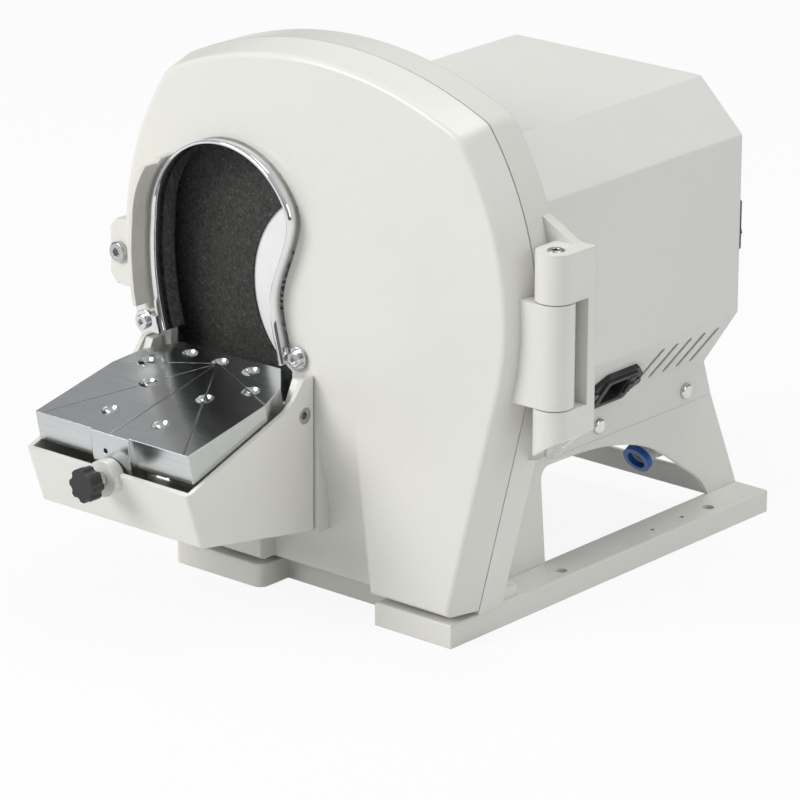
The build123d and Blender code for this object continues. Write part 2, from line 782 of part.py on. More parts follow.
def make_clamp_screw():
    face = clamp_pad_front()
    knob_back = depth(-tray_reach - knob_offset + knob_thickness / 2)
    screw = rod_y(clamp_x, clamp_z, clamp_screw_radius, knob_back - 6, face - clamp_pad_thickness - 0.05)
    return screw + rod_y(clamp_x, clamp_z, 2.5, face - clamp_pad_thickness - 0.05, face - 1.0)


def make_knob():
    centre = depth(-tray_reach - knob_offset)
    start = centre - knob_thickness / 2
    end = centre + knob_thickness / 2
    place = Pos(clamp_x, clamp_z)
    lobed = Circle(knob_radius)
    for index in range(knob_lobes):
        valley = radians(360 / knob_lobes * (index + 0.5))
        reach = knob_radius + 1.8
        lobed -= Pos(reach * cos(valley), reach * sin(valley)) * Circle(3.2)
    knob = slab_y(place * lobed, start, end)
    knob = chamfer(knob.edges().group_by(Axis.Y)[0], 0.8)
    knob = chamfer(knob.edges().group_by(Axis.Y)[-1], 0.8)
    knob += rod_y(clamp_x, clamp_z, 6.0, end, end + 2.5)
    return knob - rod_y(clamp_x, clamp_z, clamp_screw_radius, end - 6, end + 10)


def cover_profile(inset):
    """Eight-sided section in X and Z, open at the skirts."""
    shoulder = inset * 0.42
    waist = inset * 0.3
    right = [
        (cover_skirt_half_width - inset, cover_bottom_z - (20 if inset else 0)),
        (cover_skirt_half_width - inset, cover_skirt_z + waist),
        (cover_half_width - inset, cover_waist_z + waist),
        (cover_half_width - inset, cover_shoulder_z - shoulder),
        (cover_top_half_width - shoulder, cover_top_z - inset),
    ]
    left = [(-x, z) for x, z in reversed(right)]
    return polygon(*right, *left)


def chamfer_frame(y, along):
    """Plane on the cover's right lower slope; its X runs to the rear, its Y up the slope."""
    run = cover_half_width - cover_skirt_half_width
    rise = cover_waist_z - cover_skirt_z
    slope = hypot(run, rise)
    x = cover_skirt_half_width + along * run / slope
    z = cover_skirt_z + along * rise / slope
    return Plane(origin=(x, y, z), x_dir=(0, 1, 0), z_dir=(rise / slope, 0, -run / slope))


def make_cover():
    start = casing_back_y + 0.3
    rear = depth(cover_rear)
    shell = slab_y(cover_profile(0), start, rear)
    bends = [e for e in shell.edges().filter_by(Axis.Y) if e.center().Z > cover_skirt_z - 1]
    shell = fillet(bends, cover_bend_radius)
    shell -= slab_y(cover_profile(cover_sheet), start - 1, rear - cover_sheet)
    slope_length = hypot(cover_half_width - cover_skirt_half_width, cover_waist_z - cover_skirt_z)
    for index in range(slot_count):
        y = depth(first_slot + index * slot_pitch)
        plane = chamfer_frame(y, slope_length / 2 - 2)
        slot = Rot(Z=90 - slot_slant) * SlotOverall(slot_length, slot_width)
        cut = extrude(plane * slot, amount=4, both=True)
        shell -= cut
        shell -= mirror_x(cut)
    inlet = chamfer_frame(depth(inlet_y), inlet_slope_offset)
    shell -= extrude(inlet * Rectangle(28, 21), amount=4, both=True)
    for x in (-20, 20):
        shell -= extrude(inlet * (Pos(x, 0) * Circle(1.8)), amount=4, both=True)
    shell -= slab_y(Pos(switch_x, switch_z) * Rectangle(switch_width - 4, switch_height - 4), rear - 5, rear + 1)
    for place in cover_screw_places:
        shell -= rod_x(depth(place), cover_screw_z, 2.2, -100, 100)
    shell -= block(-75, 75, start - 1, depth(96), cover_bottom_z - 1, cover_bottom_z + 3)
    wing = polygon((rear, cover_bottom_z), (rear_edge(cover_bottom_z), cover_bottom_z), (rear, cover_skirt_z))
    wing = slab_x(wing, cover_skirt_half_width - cover_sheet, cover_skirt_half_width)
    return shell + wing + mirror_x(wing)


def side_frame():
    """Right side frame: an arched sheet leg that leans out, with an upright edge inside the skirt."""
    back = casing_back_y + 0.3
    low = bar_height - 2
    arch = Spline(
        (depth(frame_arch_front + 8), frame_arch_top_z),
        (depth(frame_rear_foot - 89.5), 67.6),
        (depth(frame_rear_foot - 45.5), 52.6),
        (depth(frame_rear_foot - 19.5), 34.4),
        (depth(frame_rear_foot), low),
        tangents=((1, 0), (0.3, -1)),
    )
    corner = ThreePointArc(
        (depth(frame_arch_front), frame_arch_top_z - 8),
        (depth(frame_arch_front + 2.4), frame_arch_top_z - 2.4),
        (depth(frame_arch_front + 8), frame_arch_top_z),
    )
    rest = Polyline(
        (depth(frame_rear_foot), low),
        (rear_edge(low), low),
        (rear_edge(cover_bottom_z), cover_bottom_z),
        (back, cover_bottom_z),
        (back, low),
        (depth(frame_front_foot), low),
        (depth(frame_arch_front), frame_arch_top_z - 8),
    )
    leg = slab_x(
        make_face([*arch.edges(), *corner.edges(), *rest.edges()]),
        cover_skirt_half_width - frame_thickness,
        cover_skirt_half_width,
    )
    bend = Pos(cover_skirt_half_width, 0, cover_bottom_z)
    leg = bend * Rot(Y=-frame_splay) * bend.inverse() * leg
    leg &= block(60, 100, back, base_rear_y, bar_height, cover_bottom_z)
    edge_x = cover_skirt_half_width - cover_sheet
    edge_rear = depth(cover_rear - cover_sheet) - 0.3
    frame = leg + block(edge_x - frame_thickness, edge_x, back, edge_rear, frame_arch_top_z + 0.5, cover_skirt_z - 0.3)
    for place in cover_screw_places:
        frame -= rod_x(depth(place), cover_screw_z, 2.0, 60, 90)
    return frame


def make_rail():
    """Sheet rail that joins the rear legs and leans with their rear edges."""
    lean = (rail_top_z - bar_height) * tan(radians(rear_edge_lean))
    foot = depth(frame_rear_foot - 1)
    rail = polygon(
        (foot, bar_height),
        (foot + rail_thickness, bar_height),
        (foot + rail_thickness - lean, rail_top_z),
        (foot - lean, rail_top_z),
    )
    rail = slab_x(rail, -100, 100)
    return rail & between_frames()


def between_frames():
    """Room between the inner faces of the leaning legs."""
    half = cover_skirt_half_width - frame_thickness / cos(radians(frame_splay))
    low_half = half + (cover_bottom_z - bar_height) * tan(radians(frame_splay))
    section = polygon((-low_half, bar_height), (low_half, bar_height), (half, cover_bottom_z), (-half, cover_bottom_z))
    return slab_y(section, casing_back_y, base_rear_y)


def make_cover_screws():
    def screw(place):
        y = depth(place)
        head = rod_x(y, cover_screw_z, cover_screw_radius, cover_skirt_half_width, cover_skirt_half_width + 2.6)
        head = fillet(head.edges().group_by(Axis.X)[-1], 1.9)
        return head + rod_x(y, cover_screw_z, 2.0, cover_skirt_half_width - 10, cover_skirt_half_width)

    right = [screw(place) for place in cover_screw_places]
    return Compound(right + [mirror_x(piece) for piece in right])


def make_floor():
    floor = block(-75, 75, casing_back_y + 1, depth(cover_rear - 2.5), cover_skirt_z - 0.3, cover_skirt_z + 2.7)
    floor -= rod_z(valve_x - 30, depth(valve_y), 8, 90, 110)
    return floor


def motor_y(distance):
    return depth(motor_front + distance)


def make_stator():
    body = ring_y(0, wheel_axis_z, motor_radius, rotor_radius + air_gap, motor_y(bell_length), motor_y(motor_length - bell_length))
    for index in range(16):
        rib = Pos(0, wheel_axis_z) * (Rot(Z=22.5 * index) * Pos(motor_radius + 1, 0) * Rectangle(6, 2.4))
        body += slab_y(rib, motor_y(bell_length + 3), motor_y(motor_length - bell_length - 3))
    return body


def make_bell(front):
    start = motor_y(0) if front else motor_y(motor_length - bell_length)
    end = start + bell_length
    bell = rod_y(0, wheel_axis_z, motor_radius, start, end)
    inner_start = start + 6 if front else start - 1
    inner_end = end + 1 if front else end - 6
    hollow = rod_y(0, wheel_axis_z, motor_radius - 5, inner_start, inner_end)
    hub_end = start + bearing_width + 3 if front else end
    hub_start = start if front else end - bearing_width - 3
    bell = bell - hollow + rod_y(0, wheel_axis_z, bearing_radius + 5, hub_start, hub_end)
    seat_start = hub_start + 3 if front else hub_start - 1
    seat_end = hub_end + 1 if front else hub_end - 3
    bell -= rod_y(0, wheel_axis_z, bearing_radius, seat_start, seat_end)
    bell -= rod_y(0, wheel_axis_z, shaft_radius + 1, start - 1, end + 1)
    if front:
        for index in range(4):
            angle = radians(45 + 90 * index)
            x = 48 * cos(angle)
            z = wheel_axis_z + 48 * sin(angle)
            bell += rod_y(x, z, 7, casing_back_y, start + 6)
    return bell


def make_bearing(front):
    start = motor_y(3) if front else motor_y(motor_length - 3 - bearing_width)
    race = shaft_radius + running_clearance
    return ring_y(0, wheel_axis_z, bearing_radius, race, start, start + bearing_width)


def make_rotor():
    middle = motor_y(motor_length / 2)
    return ring_y(0, wheel_axis_z, rotor_radius, shaft_radius, middle - rotor_length / 2, middle + rotor_length / 2)


def make_fan():
    start = motor_y(motor_length + 8)
    fan = ring_y(0, wheel_axis_z, 18, shaft_radius, start, start + 18)
    for index in range(7):
        blade = Rot(Z=360 / 7 * index) * Pos(0, 33) * Rectangle(2.4, 33)
        fan += slab_y(Pos(0, wheel_axis_z) * blade, start + 2, start + 16)
    return fan


def make_motor_feet():
    """Cradle that carries the stator on the housing floor."""
    start = motor_y(bell_length + 14)
    end = motor_y(motor_length - bell_length - 14)
    low = cover_skirt_z + 2.7
    cradle = block(-48, 48, start, end, low, low + 5) + block(-34, 34, start, end, low + 5, wheel_axis_z - 40)
    return cradle - rod_y(0, wheel_axis_z, motor_radius + 4.05, start - 1, end + 1)


def make_capacitor():
    can = rod_y(-62, 122, 16, motor_y(20), motor_y(90))
    can = fillet(can.edges(), 2)
    return can + block(-76, -48, motor_y(30), motor_y(80), cover_skirt_z + 2.7, 112)


def make_terminal_block():
    base = block(40, 64, depth(206), depth(250), cover_skirt_z + 2.7, cover_skirt_z + 14)
    for index in range(4):
        base -= block(42, 62, depth(209 + 10 * index), depth(216 + 10 * index), cover_skirt_z + 9, cover_skirt_z + 20)
    return base


def make_switch_frame():
    rear = depth(cover_rear)
    place = Pos(switch_x, switch_z)
    frame = slab_y(place * RectangleRounded(switch_width, switch_height, 1.5), rear, rear + switch_bezel)
    frame = chamfer(frame.edges().group_by(Axis.Y)[-1], 0.8)
    frame += slab_y(place * Rectangle(switch_width - 4.4, switch_height - 4.4), rear - 16, rear)
    frame -= slab_y(place * Rectangle(switch_width - 7, switch_height - 8), rear - 9, rear + switch_bezel + 1)
    half = switch_width / 2 - 2.6
    return frame - rod_x(rear - 2, switch_z, rocker_pin_radius + running_clearance, switch_x - half, switch_x + half)


def make_rocker():
    """Rocker key that pivots about X on two pins in the switch frame."""
    rear = depth(cover_rear)
    half = (switch_height - 11.2) / 2
    key = polygon(
        (rear - 4, switch_z - half + 1.5),
        (rear + rocker_proud, switch_z - half),
        (rear + rocker_proud - 1.2, switch_z),
        (rear + rocker_proud, switch_z + half),
        (rear - 4, switch_z + half - 1.5),
    )
    half_width = (switch_width - 7.6) / 2
    key = slab_x(key, switch_x - half_width, switch_x + half_width)
    key = chamfer(key.edges().group_by(Axis.Y)[-1], 0.6)
    pins = rod_x(rear - 2, switch_z, rocker_pin_radius, switch_x - half_width - 1.0, switch_x + half_width + 1.0)
    pivot = Pos(0, rear - 2, switch_z)
    return pivot * Rot(X=rocker_tilt) * pivot.inverse() * (key + pins)


def inlet_plane():
    return chamfer_frame(depth(inlet_y), inlet_slope_offset)


def make_inlet():
    plane = inlet_plane()
    half = inlet_length / 2
    tall = inlet_height / 2
    flange = polygon(
        (-half, -5), (-half + 10, -tall), (half - 10, -tall), (half, -5),
        (half, 5), (half - 10, tall), (-half + 10, tall), (-half, 5),
    )
    body = extrude(plane * flange, amount=3.0)
    body += extrude(plane * RectangleRounded(27.4, 20.4, 2), amount=-19)
    body += extrude(plane * RectangleRounded(31, 23, 3), amount=4.5)
    well = Pos(-2.2, 0) * RectangleRounded(17.4, 17, 2.5)
    body -= extrude(plane.offset(4.6) * well, amount=-17)
    drawer = Pos(10.4, 0) * Rectangle(5.4, 17.6)
    body -= extrude(plane.offset(4.6) * drawer, amount=-19)
    for x in (-20, 20):
        body -= extrude(plane.offset(4.6) * (Pos(x, 0) * Circle(1.7)), amount=-6)
    return body


def make_inlet_pins():
    plane = inlet_plane()
    pins = []
    for x, y in ((-5.6, -4.2), (-5.6, 4.2), (1.4, 0)):
        pins.append(extrude(plane.offset(-12.4) * (Pos(x, y) * Rectangle(4, 2)), amount=11))
    return Compound(pins)


def make_fuse_drawer():
    plane = inlet_plane()
    drawer = extrude(plane.offset(4.9) * (Pos(10.4, 0) * Rectangle(5.0, 17.2)), amount=-18)
    grip = extrude(plane.offset(4.9) * (Pos(10.4, 0) * Rectangle(5.0, 8)), amount=1.2)
    return drawer + grip


def make_inlet_screws():
    plane = inlet_plane()
    screws = []
    for x in (-20, 20):
        place = Pos(x, 0)
        head = extrude(plane.offset(3) * (place * Circle(3.0)), amount=1.4)
        shank = extrude(plane.offset(3) * (place * Circle(1.6)), amount=-8)
        slot = extrude(plane.offset(3.8) * (place * Rectangle(5, 0.8)), amount=2)
        screws.append(head + shank - slot)
    return Compound(screws)


def valve_inlet():
    """Turns an inlet drawn about the origin, opening towards -Y, to its place in the valve."""
    return Pos(valve_x, depth(valve_y), valve_z) * Rot(X=valve_inlet_tilt)


def make_valve():
    """Water valve that hangs under the housing floor, its inlet turned down towards the bench."""
    y = depth(valve_y)
    body = block(valve_x - 9, valve_x + 9, y - 13, y + 13, valve_z - 10, valve_z + 10)
    body = fillet(body.edges().filter_by(Axis.Z), 3)
    body += block(valve_x - 12, valve_x + 8, y - 11, y + 11, valve_z + 10, cover_skirt_z - 0.3)
    body += rod_y(valve_x, valve_z, 8.2, y, y + 20)
    body += valve_inlet() * rod_y(0, 0, 8.2, -valve_inlet_length, 0)
    tube_stop = water_tube_depth - release_collar_length - valve_inlet_length
    body -= valve_inlet() * rod_y(0, 0, water_tube_radius, -valve_inlet_length - 1, tube_stop)
    return body - rod_y(valve_x, valve_z, 4.0, y + 6, y + 21)


def make_release_collar():
    front = -valve_inlet_length - release_collar_length
    return valve_inlet() * ring_y(0, 0, 9.4, water_tube_radius, front, -valve_inlet_length)


def make_spray_pipe():
    """Water pipe that leads over the wheel's rim to its face."""
    pipe = rod_y(spray_x, spray_z, spray_radius, depth(spray_depth) - spray_radius, casing_back_y)
    pipe += rod_z(spray_x, depth(spray_depth), spray_radius, spray_z - 12, spray_z)
    return pipe


def make_drain():
    start = casing_back_y - casing_wall
    end = casing_back_y + drain_length
    spigot = rod_y(0, drain_z, drain_radius, start, end)
    spigot += rod_y(0, drain_z, drain_radius + 4, casing_back_y, casing_back_y + 4)
    return spigot - rod_y(0, drain_z, drain_bore_radius, start - 1, end + 1)


def foot_bolt_place():
    return 94.5, casing_back_y + 12


def make_foot_bolts():
    """Hexagon bolts that hold the casing's feet to the base bars."""
    x, y = foot_bolt_place()
    top = bar_height + 7
    bolt = slab_z(Pos(x, y) * RegularPolygon(5.8, 6), top, top + 4)
    bolt += rod_z(x, y, foot_bolt_radius, bar_height - 8, top)
    return Compound([bolt, mirror_x(bolt)])


right_frame = side_frame()

save(make_base(), "base_casting")
save(right_frame, "side_frame_right")
save(mirror_x(right_frame), "side_frame_left")
save(make_rail(), "rear_rail")
save(make_casing(), "wheel_casing")
save(make_gasket(), "door_gasket")
save(make_hinge_pin(), "hinge_pin")
save(make_foot_bolts(), "casing_foot_bolts")
save(make_drain(), "drain_spigot")
save(make_shaft_seal(), "shaft_seal")
save(make_spray_pipe(), "spray_pipe")
save(make_cover(), "housing_cover")
save(make_cover_screws(), "cover_screws")
save(make_floor(), "housing_floor")
save(make_stator(), "motor_stator")
save(make_bell(True), "motor_front_bell")
save(make_bell(False), "motor_rear_bell")
save(make_bearing(True), "front_bearing")
save(make_bearing(False), "rear_bearing")
save(make_motor_feet(), "motor_cradle")
save(make_capacitor(), "run_capacitor")
save(make_terminal_block(), "terminal_block")
save(make_valve(), "water_valve")
save(make_release_collar(), "valve_release_collar")
save(make_switch_frame(), "switch_frame")
save(make_rocker(), "switch_rocker")
save(make_inlet(), "power_inlet")
save(make_inlet_pins(), "inlet_pins")
save(make_inlet_screws(), "inlet_screws")
save(make_fuse_drawer(), "fuse_drawer")
save(make_abrasive(), "abrasive_disc")
save(make_wheel_plate(), "wheel_plate")
save(make_wheel_nut(), "wheel_nut")
save(make_shaft(), "motor_shaft")
save(make_slinger(), "water_slinger")
save(make_rotor(), "motor_rotor")
save(make_fan(), "cooling_fan")
save(make_door(), "door")
save(make_band(), "opening_band")
save(make_band_screws(), "band_screws")
save(make_guard(), "splash_guard")
save(make_latch_bolt(), "latch_bolt")
save(make_tray(), "tray")
save(make_tray_screws(), "tray_screws")
save(make_tilt_shaft(), "tilt_shaft")
save(make_table(), "table")
save(make_clamp_pad(), "clamp_pad")
save(make_clamp_screw(), "clamp_screw")
save(make_knob(), "clamp_knob")
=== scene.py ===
import json
import math
import bpy
from mathutils import Matrix, Vector


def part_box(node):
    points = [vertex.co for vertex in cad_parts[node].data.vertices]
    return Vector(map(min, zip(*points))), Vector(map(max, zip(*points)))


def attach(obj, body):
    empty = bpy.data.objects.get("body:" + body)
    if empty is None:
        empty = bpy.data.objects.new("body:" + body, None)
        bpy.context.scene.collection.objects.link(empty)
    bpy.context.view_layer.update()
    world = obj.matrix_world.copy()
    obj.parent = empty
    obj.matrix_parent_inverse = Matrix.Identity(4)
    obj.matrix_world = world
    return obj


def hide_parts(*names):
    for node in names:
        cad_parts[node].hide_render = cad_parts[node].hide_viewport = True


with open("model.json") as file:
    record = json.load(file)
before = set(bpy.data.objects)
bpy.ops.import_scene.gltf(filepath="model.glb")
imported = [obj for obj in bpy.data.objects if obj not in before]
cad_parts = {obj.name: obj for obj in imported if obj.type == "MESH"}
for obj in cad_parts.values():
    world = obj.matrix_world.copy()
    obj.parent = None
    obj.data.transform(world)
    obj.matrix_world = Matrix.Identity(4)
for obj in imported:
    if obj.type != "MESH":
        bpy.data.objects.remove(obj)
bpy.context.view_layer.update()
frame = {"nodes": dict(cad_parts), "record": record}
print("frame loaded")

# small helpers for node trees

def addNode(tree, kind, values=None, **settings):
    node = tree.nodes.new(kind)
    for key, value in settings.items():
        setattr(node, key, value)
    for key, value in (values or {}).items():
        node.inputs[key].default_value = value
    return node


def join(tree, source, output, target, socket):
    tree.links.new(source.outputs[output], target.inputs[socket])


def startGroup(name, inputs, outputs):
    tree = bpy.data.node_groups.new(name, "ShaderNodeTree")
    for socketName, kind, value in inputs:
        socket = tree.interface.new_socket(socketName, in_out="INPUT", socket_type=kind)
        socket.default_value = value
    for socketName, kind in outputs:
        tree.interface.new_socket(socketName, in_out="OUTPUT", socket_type=kind)
    return tree, tree.nodes.new("NodeGroupInput"), tree.nodes.new("NodeGroupOutput")


def mathNode(tree, operation, first=None, second=None, clamp=False):
    node = addNode(tree, "ShaderNodeMath", operation=operation, use_clamp=clamp)
    if first is not None:
        node.inputs[0].default_value = first
    if second is not None:
        node.inputs[1].default_value = second
    return node


def ramp(tree, low, high):
    node = addNode(tree, "ShaderNodeMapRange", {"From Min": low, "From Max": high})
    node.clamp = True
    return node


# shared effects, each a node group that is built once

def buildMottle():
    # broad, faint cloudiness of paint, plastic and metal
    tree, start, end = startGroup(
        "cloudyTone",
        [
            ("Scale", "NodeSocketFloat", 30.0),
            ("Low", "NodeSocketFloat", 0.9),
            ("High", "NodeSocketFloat", 1.05),
        ],
        [("Tone", "NodeSocketFloat")],
    )
    place = addNode(tree, "ShaderNodeTexCoord")
    noise = addNode(tree, "ShaderNodeTexNoise", {"Detail": 5.0, "Roughness": 0.6})
    spread = ramp(tree, 0.3, 0.7)
    join(tree, place, "Object", noise, "Vector")
    join(tree, start, "Scale", noise, "Scale")
    join(tree, noise, "Fac", spread, "Value")
    join(tree, start, "Low", spread, "To Min")
    join(tree, start, "High", spread, "To Max")
    join(tree, spread, "Result", end, "Tone")
    return tree


def buildEdgeWear():
    # rubbed edges: where the rounded normal leaves the true one, broken up by noise
    tree, start, end = startGroup(
        "rubbedEdges",
        [("Breakup", "NodeSocketFloat", 220.0), ("Reach", "NodeSocketFloat", 0.5)],
        [("Mask", "NodeSocketFloat"), ("Soft Normal", "NodeSocketVector")],
    )
    place = addNode(tree, "ShaderNodeTexCoord")
    rounded = addNode(tree, "ShaderNodeBevel", {"Radius": 0.0009}, samples=6)
    shape = addNode(tree, "ShaderNodeNewGeometry")
    dot = addNode(tree, "ShaderNodeVectorMath", operation="DOT_PRODUCT")
    turned = mathNode(tree, "SUBTRACT", first=1.0)
    noise = addNode(tree, "ShaderNodeTexNoise", {"Detail": 4.0, "Roughness": 0.7})
    broken = ramp(tree, 0.42, 0.66)
    rise = ramp(tree, 0.03, 0.22)
    mask = mathNode(tree, "MULTIPLY")
    scaled = mathNode(tree, "MULTIPLY", clamp=True)
    join(tree, rounded, "Normal", dot, 0)
    join(tree, shape, "Normal", dot, 1)
    join(tree, dot, "Value", turned, 1)
    join(tree, turned, "Value", rise, "Value")
    join(tree, place, "Object", noise, "Vector")
    join(tree, start, "Breakup", noise, "Scale")
    join(tree, noise, "Fac", broken, "Value")
    join(tree, rise, "Result", mask, 0)
    join(tree, broken, "Result", mask, 1)
    join(tree, mask, "Value", scaled, 0)
    join(tree, start, "Reach", scaled, 1)
    join(tree, scaled, "Value", end, "Mask")
    join(tree, rounded, "Normal", end, "Soft Normal")
    return tree


def buildPeel():
    # fine uneven height, such as orange peel in paint or a sand-cast skin
    tree, start, end = startGroup(
        "peelHeight",
        [("Scale", "NodeSocketFloat", 400.0), ("Fine", "NodeSocketFloat", 0.3)],
        [("Height", "NodeSocketFloat")],
    )
    place = addNode(tree, "ShaderNodeTexCoord")
    coarse = addNode(tree, "ShaderNodeTexNoise", {"Detail": 2.0, "Roughness": 0.45})
    quick = mathNode(tree, "MULTIPLY", second=4.3)
    fine = addNode(tree, "ShaderNodeTexNoise", {"Detail": 2.0, "Roughness": 0.6})
    share = mathNode(tree, "MULTIPLY")
    total = mathNode(tree, "ADD")
    join(tree, place, "Object", coarse, "Vector")
    join(tree, start, "Scale", coarse, "Scale")
    join(tree, start, "Scale", quick, 0)
    join(tree, place, "Object", fine, "Vector")
    join(tree, quick, "Value", fine, "Scale")
    join(tree, fine, "Fac", share, 0)
    join(tree, start, "Fine", share, 1)
    join(tree, coarse, "Fac", total, 0)
    join(tree, share, "Value", total, 1)
    join(tree, total, "Value", end, "Height")
    return tree


def buildStreaks():
    # cutter or brush marks: noise drawn out along one axis
    tree, start, end = startGroup(
        "drawnStreaks",
        [("Stretch", "NodeSocketVector", (1.0, 1.0, 1.0)), ("Scale", "NodeSocketFloat", 300.0)],
        [("Streak", "NodeSocketFloat")],
    )
    place = addNode(tree, "ShaderNodeTexCoord")
    drawn = addNode(tree, "ShaderNodeVectorMath", operation="MULTIPLY")
    noise = addNode(tree, "ShaderNodeTexNoise", {"Detail": 4.0, "Roughness": 0.65})
    join(tree, place, "Object", drawn, 0)
    join(tree, start, "Stretch", drawn, 1)
    join(tree, drawn, "Vector", noise, "Vector")
    join(tree, start, "Scale", noise, "Scale")
    join(tree, noise, "Fac", end, "Streak")
    return tree


def buildDust():
    # fine plaster dust that settles on surfaces facing up
    tree, start, end = startGroup(
        "settledDust",
        [("Amount", "NodeSocketFloat", 0.3), ("Scale", "NodeSocketFloat", 60.0)],
        [("Mask", "NodeSocketFloat")],
    )
    place = addNode(tree, "ShaderNodeTexCoord")
    shape = addNode(tree, "ShaderNodeNewGeometry")
    split = addNode(tree, "ShaderNodeSeparateXYZ")
    up = ramp(tree, 0.3, 1.0)
    noise = addNode(tree, "ShaderNodeTexNoise", {"Detail": 6.0, "Roughness": 0.7})
    patches = ramp(tree, 0.45, 0.75)
    both = mathNode(tree, "MULTIPLY")
    scaled = mathNode(tree, "MULTIPLY", clamp=True)
    join(tree, shape, "Normal", split, "Vector")
    join(tree, split, "Z", up, "Value")
    join(tree, place, "Object", noise, "Vector")
    join(tree, start, "Scale", noise, "Scale")
    join(tree, noise, "Fac", patches, "Value")
    join(tree, up, "Result", both, 0)
    join(tree, patches, "Result", both, 1)
    join(tree, both, "Value", scaled, 0)
    join(tree, start, "Amount", scaled, 1)
    join(tree, scaled, "Value", end, "Mask")
    return tree


def buildGrit():
    # packed mineral grains: pitted height and a sparkle mask
    tree, start, end = startGroup(
        "packedGrit",
        [("Scale", "NodeSocketFloat", 900.0)],
        [("Height", "NodeSocketFloat"), ("Sparkle", "NodeSocketFloat"), ("Shade", "NodeSocketFloat")],
    )
    place = addNode(tree, "ShaderNodeTexCoord")
    grains = addNode(tree, "ShaderNodeTexVoronoi", feature="F1")
    clumps = addNode(tree, "ShaderNodeTexNoise", {"Detail": 6.0, "Roughness": 0.75})
    clumpScale = mathNode(tree, "MULTIPLY", second=0.35)
    bright = addNode(tree, "ShaderNodeSeparateColor")
    sparkle = ramp(tree, 0.95, 0.99)
    total = mathNode(tree, "ADD")
    join(tree, place, "Object", grains, "Vector")
    join(tree, start, "Scale", grains, "Scale")
    join(tree, start, "Scale", clumpScale, 0)
    join(tree, place, "Object", clumps, "Vector")
    join(tree, clumpScale, "Value", clumps, "Scale")
    join(tree, grains, "Color", bright, "Color")
    join(tree, bright, "Red", sparkle, "Value")
    join(tree, grains, "Distance", total, 0)
    join(tree, clumps, "Fac", total, 1)
    join(tree, total, "Value", end, "Height")
    join(tree, sparkle, "Result", end, "Sparkle")
    join(tree, clumps, "Fac", end, "Shade")
    return tree


def buildInnerSkin():
    # the inside of the faceted cover: where a point lies deeper than the sheet under its outer faces; it
    # marks where painted shade is laid
    tree, start, end = startGroup(
        "coverInside",
        [("Sheet", "NodeSocketFloat", 0.0008)],
        [("Mask", "NodeSocketFloat")],
    )
    place = addNode(tree, "ShaderNodeTexCoord")
    split = addNode(tree, "ShaderNodeSeparateXYZ")
    side = mathNode(tree, "ABSOLUTE")
    join(tree, place, "Object", split, "Vector")
    join(tree, split, "X", side, 0)
    deepest = None
    for across, upwards, reach in coverFaces:
        alongX = mathNode(tree, "MULTIPLY", second=across)
        alongZ = mathNode(tree, "MULTIPLY_ADD", second=upwards)
        past = mathNode(tree, "SUBTRACT", second=reach)
        join(tree, side, "Value", alongX, 0)
        join(tree, split, "Z", alongZ, 0)
        join(tree, alongX, "Value", alongZ, 2)
        join(tree, alongZ, "Value", past, 0)
        if deepest is not None:
            both = mathNode(tree, "MAXIMUM")
            join(tree, deepest, "Value", both, 0)
            join(tree, past, "Value", both, 1)
            past = both
        deepest = past
    under = mathNode(tree, "MULTIPLY", second=-1.0)
    inside = mathNode(tree, "GREATER_THAN")
    join(tree, deepest, "Value", under, 0)
    join(tree, under, "Value", inside, 0)
    join(tree, start, "Sheet", inside, 1)
    join(tree, inside, "Value", end, "Mask")
    return tree


# corners of the cover's section to the right of the middle, as X and Z in metres
coverCorners = (
    (0.0785, 0.075), (0.0785, 0.0978), (0.1027, 0.1345),
    (0.1027, 0.2448), (0.071, 0.2756), (0.0, 0.2756),
)


def facesOf(corners):
    # each face as the two parts of its outward direction and its distance from the origin
    faces = []
    for (x0, z0), (x1, z1) in zip(corners, corners[1:]):
        length = math.hypot(x1 - x0, z1 - z0)
        across, upwards = (z1 - z0) / length, -(x1 - x0) / length
        faces.append((across, upwards, across * x0 + upwards * z0))
    return faces


coverFaces = facesOf(coverCorners)
effects = {
    "mottle": buildMottle(),
    "edges": buildEdgeWear(),
    "peel": buildPeel(),
    "streaks": buildStreaks(),
    "dust": buildDust(),
    "grit": buildGrit(),
    "inside": buildInnerSkin(),
}
print("shared effects built")


def placeGroup(tree, effect, **values):
    node = tree.nodes.new("ShaderNodeGroup")
    node.node_tree = effects[effect]
    for key, value in values.items():
        node.inputs[key].default_value = value
    return node


def newMaterial(name):
    material = bpy.data.materials.new(name)
    material.use_nodes = True
    tree = material.node_tree
    tree.nodes.clear()
    out = tree.nodes.new("ShaderNodeOutputMaterial")
    shader = tree.nodes.new("ShaderNodeBsdfPrincipled")
    join(tree, shader, "BSDF", out, "Surface")
    return material, tree, shader


def toneColour(tree, colour, toneNode, output):
    # one colour made lighter and darker by a tone
    mix = addNode(tree, "ShaderNodeVectorMath", {0: colour}, operation="SCALE")
    join(tree, toneNode, output, mix, "Scale")
    return mix, "Vector"


def layColour(tree, below, belowOut, colour, maskNode, maskOut):
    # a second colour laid over the first where a mask says
    mix = addNode(tree, "ShaderNodeMix", data_type="RGBA")
    mix.inputs["B"].default_value = (*colour, 1.0)
    tree.links.new(below.outputs[belowOut], mix.inputs["A"])
    tree.links.new(maskNode.outputs[maskOut], mix.inputs["Factor"])
    return mix, "Result"


def roughnessFrom(tree, shader, node, output, low, high):
    spread = addNode(tree, "ShaderNodeMapRange", {"To Min": low, "To Max": high})
    tree.links.new(node.outputs[output], spread.inputs["Value"])
    join(tree, spread, "Result", shader, "Roughness")
    return spread


